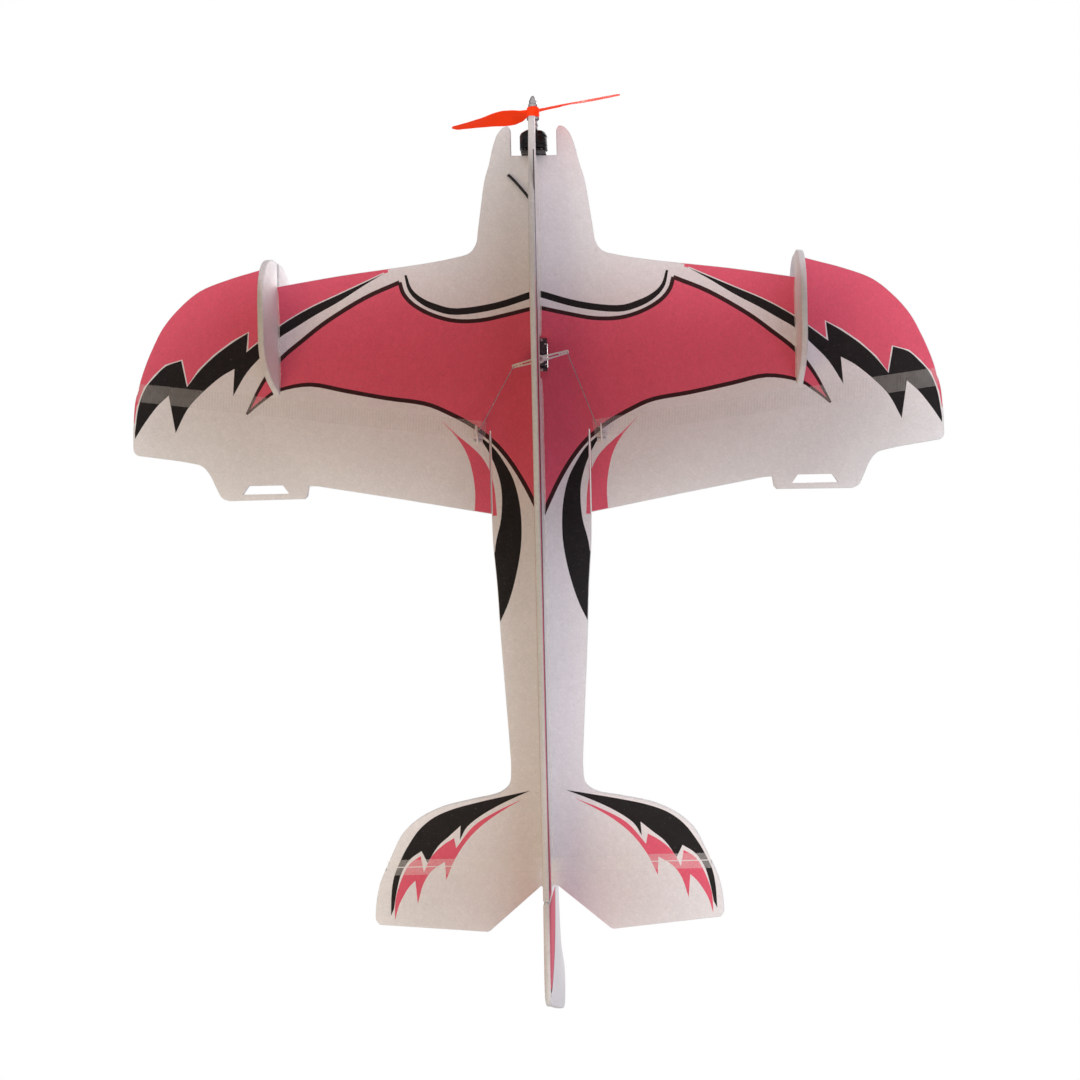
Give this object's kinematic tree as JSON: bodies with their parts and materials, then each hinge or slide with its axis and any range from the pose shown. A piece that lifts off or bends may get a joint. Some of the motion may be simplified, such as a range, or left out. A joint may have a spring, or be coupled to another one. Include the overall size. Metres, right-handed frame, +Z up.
{
  "type": "foam radio-controlled aerobatic model aeroplane",
  "caption": "Flat-sheet foam radio-controlled aerobatic aeroplane with electric propeller, hinged ailerons, elevator and rudder, servos, wire linkages and side force plates.",
  "frame": {"origin": "on the flat lower edge of the fuselage, on the centre plane, under the balance point", "axes": "+Y from nose to tail, +X towards the port wing tip, +Z up, z = 0 is the ground it rests on"},
  "size_m": [0.8002, 0.9452, 0.2249],
  "materials": {
    "printed_foam": "white closed-cell foam sheet printed with red, black and white trim",
    "white_foam": "plain white closed-cell foam sheet",
    "carbon": "pultruded carbon fibre",
    "fibre_tape": "clear tape with cross fibres",
    "fibre_plate": "thin plywood plate",
    "black_anodised": "black anodised aluminium",
    "steel": "bright steel wire and screws",
    "aluminium": "turned aluminium",
    "orange_plastic": "moulded orange-red nylon",
    "servo_case": "dark translucent moulded case",
    "white_nylon": "moulded white nylon",
    "heat_shrink": "black heat-shrink sleeve",
    "receiver_case": "grey moulded case",
    "battery_wrap": "blue shrink wrap",
    "hook_pad": "hook-and-loop pad",
    "wire_insulation": "silicone wire insulation"
  },
  "bodies": {
    "airframe": {"wing_plate": "printed_foam", "rear_fuselage_plate": "printed_foam", "lower_fuselage": "printed_foam", "upper_fuselage": "printed_foam", "side_plate_left_upper": "white_foam", "side_plate_left_lower": "white_foam", "side_plate_right_upper": "white_foam", "side_plate_right_lower": "white_foam", "wing_spar": "carbon", "fuselage_stiffener": "carbon", "aileron_tape_left": "fibre_tape", "aileron_tape_right": "fibre_tape", "elevator_tape_left": "fibre_tape", "elevator_tape_right": "fibre_tape", "rudder_tape": "fibre_tape", "motor_mount": "fibre_plate", "motor_base": "black_anodised", "aileron_servo": "servo_case", "elevator_servo": "servo_case", "rudder_servo": "servo_case", "speed_controller": "heat_shrink", "receiver": "receiver_case", "battery_pad": "hook_pad", "battery": "battery_wrap", "motor_leads": "wire_insulation", "battery_lead": "wire_insulation", "nose_lead": "wire_insulation", "receiver_aerial": "wire_insulation"},
    "rotor": {"motor_bell": "black_anodised", "motor_shaft": "steel", "prop_adapter": "aluminium", "propeller": "orange_plastic", "prop_nut": "aluminium"},
    "aileron_arm": {"aileron_servo_arm": "white_nylon", "aileron_arm_screw": "steel"},
    "aileron_rod_left": {"aileron_pushrod_left": "steel"},
    "aileron_rod_right": {"aileron_pushrod_right": "steel"},
    "aileron_left": {"aileron_left": "printed_foam", "aileron_horn_left": "white_nylon"},
    "aileron_right": {"aileron_right": "printed_foam", "aileron_horn_right": "white_nylon"},
    "elevator_arm": {"elevator_servo_arm": "white_nylon", "elevator_arm_screw": "steel"},
    "elevator_rod": {"elevator_pushrod": "carbon"},
    "elevator": {"elevator": "printed_foam", "elevator_joiner": "carbon", "elevator_horn": "white_nylon"},
    "rudder_arm": {"rudder_servo_arm": "white_nylon", "rudder_arm_screw": "steel"},
    "rudder_rod": {"rudder_pushrod": "carbon"},
    "rudder": {"rudder": "printed_foam", "rudder_horn": "white_nylon"}
  },
  "joints": [
    {"name": "propeller_spin", "type": "hinge", "parent": "airframe", "child": "rotor", "pos_m": [0, -0.247, 0.06], "axis": [0, 1, 0], "continuous": true},
    {"name": "aileron_servo", "type": "hinge", "parent": "airframe", "child": "aileron_arm", "pos_m": [0.003, -0.001, 0.057], "axis": [0, 0, 1], "range_deg": [-20, 20]},
    {"name": "aileron_left_hinge", "type": "hinge", "parent": "airframe", "child": "aileron_left", "pos_m": [-0.0499, 0.06785, 0.06], "axis": [0.9916, 0.1292, 0], "range_deg": [-35, 35]},
    {"name": "aileron_right_hinge", "type": "hinge", "parent": "airframe", "child": "aileron_right", "pos_m": [0.0499, 0.06785, 0.06], "axis": [0.9916, -0.1292, 0], "range_deg": [-35, 35]},
    {"name": "aileron_rod_left_pivot", "type": "hinge", "parent": "aileron_arm", "child": "aileron_rod_left", "pos_m": [-0.0232, 0.00553, 0.0434], "axis": [0, 0, 1], "range_deg": [-25, 25]},
    {"name": "aileron_rod_right_pivot", "type": "hinge", "parent": "aileron_arm", "child": "aileron_rod_right", "pos_m": [0.0292, -0.00753, 0.0434], "axis": [0, 0, 1], "range_deg": [-25, 25]},
    {"name": "elevator_servo", "type": "hinge", "parent": "airframe", "child": "elevator_arm", "pos_m": [0.003, 0.18, 0.082], "axis": [1, 0, 0], "range_deg": [-35, 35]},
    {"name": "elevator_hinge", "type": "hinge", "parent": "airframe", "child": "elevator", "pos_m": [0, 0.496, 0.06], "axis": [1, 0, 0], "range_deg": [-35, 35]},
    {"name": "elevator_rod_pivot", "type": "hinge", "parent": "elevator_arm", "child": "elevator_rod", "pos_m": [0.0176, 0.18, 0.094], "axis": [1, 0, 0], "range_deg": [-35, 35]},
    {"name": "rudder_servo", "type": "hinge", "parent": "airframe", "child": "rudder_arm", "pos_m": [-0.003, 0.128, 0.084], "axis": [1, 0, 0], "range_deg": [-35, 35]},
    {"name": "rudder_hinge", "type": "hinge", "parent": "airframe", "child": "rudder", "pos_m": [0, 0.522, 0.06], "axis": [0, 0, 1], "range_deg": [-35, 35]},
    {"name": "rudder_rod_pivot", "type": "hinge", "parent": "rudder_arm", "child": "rudder_rod", "pos_m": [-0.0176, 0.128, 0.096], "axis": [1, 0, 0], "range_deg": [-35, 35]}
  ],
  "couplings": [
    {"joint": "aileron_left_hinge", "follows": "aileron_servo", "ratio": -1.23},
    {"joint": "aileron_right_hinge", "follows": "aileron_servo", "ratio": 1.52},
    {"joint": "aileron_rod_left_pivot", "follows": "aileron_servo", "ratio": -1.139},
    {"joint": "aileron_rod_right_pivot", "follows": "aileron_servo", "ratio": -0.966},
    {"joint": "elevator_hinge", "follows": "elevator_servo", "ratio": 1},
    {"joint": "elevator_rod_pivot", "follows": "elevator_servo", "ratio": -1},
    {"joint": "rudder_hinge", "follows": "rudder_servo", "ratio": 1},
    {"joint": "rudder_rod_pivot", "follows": "rudder_servo", "ratio": -1}
  ]
}
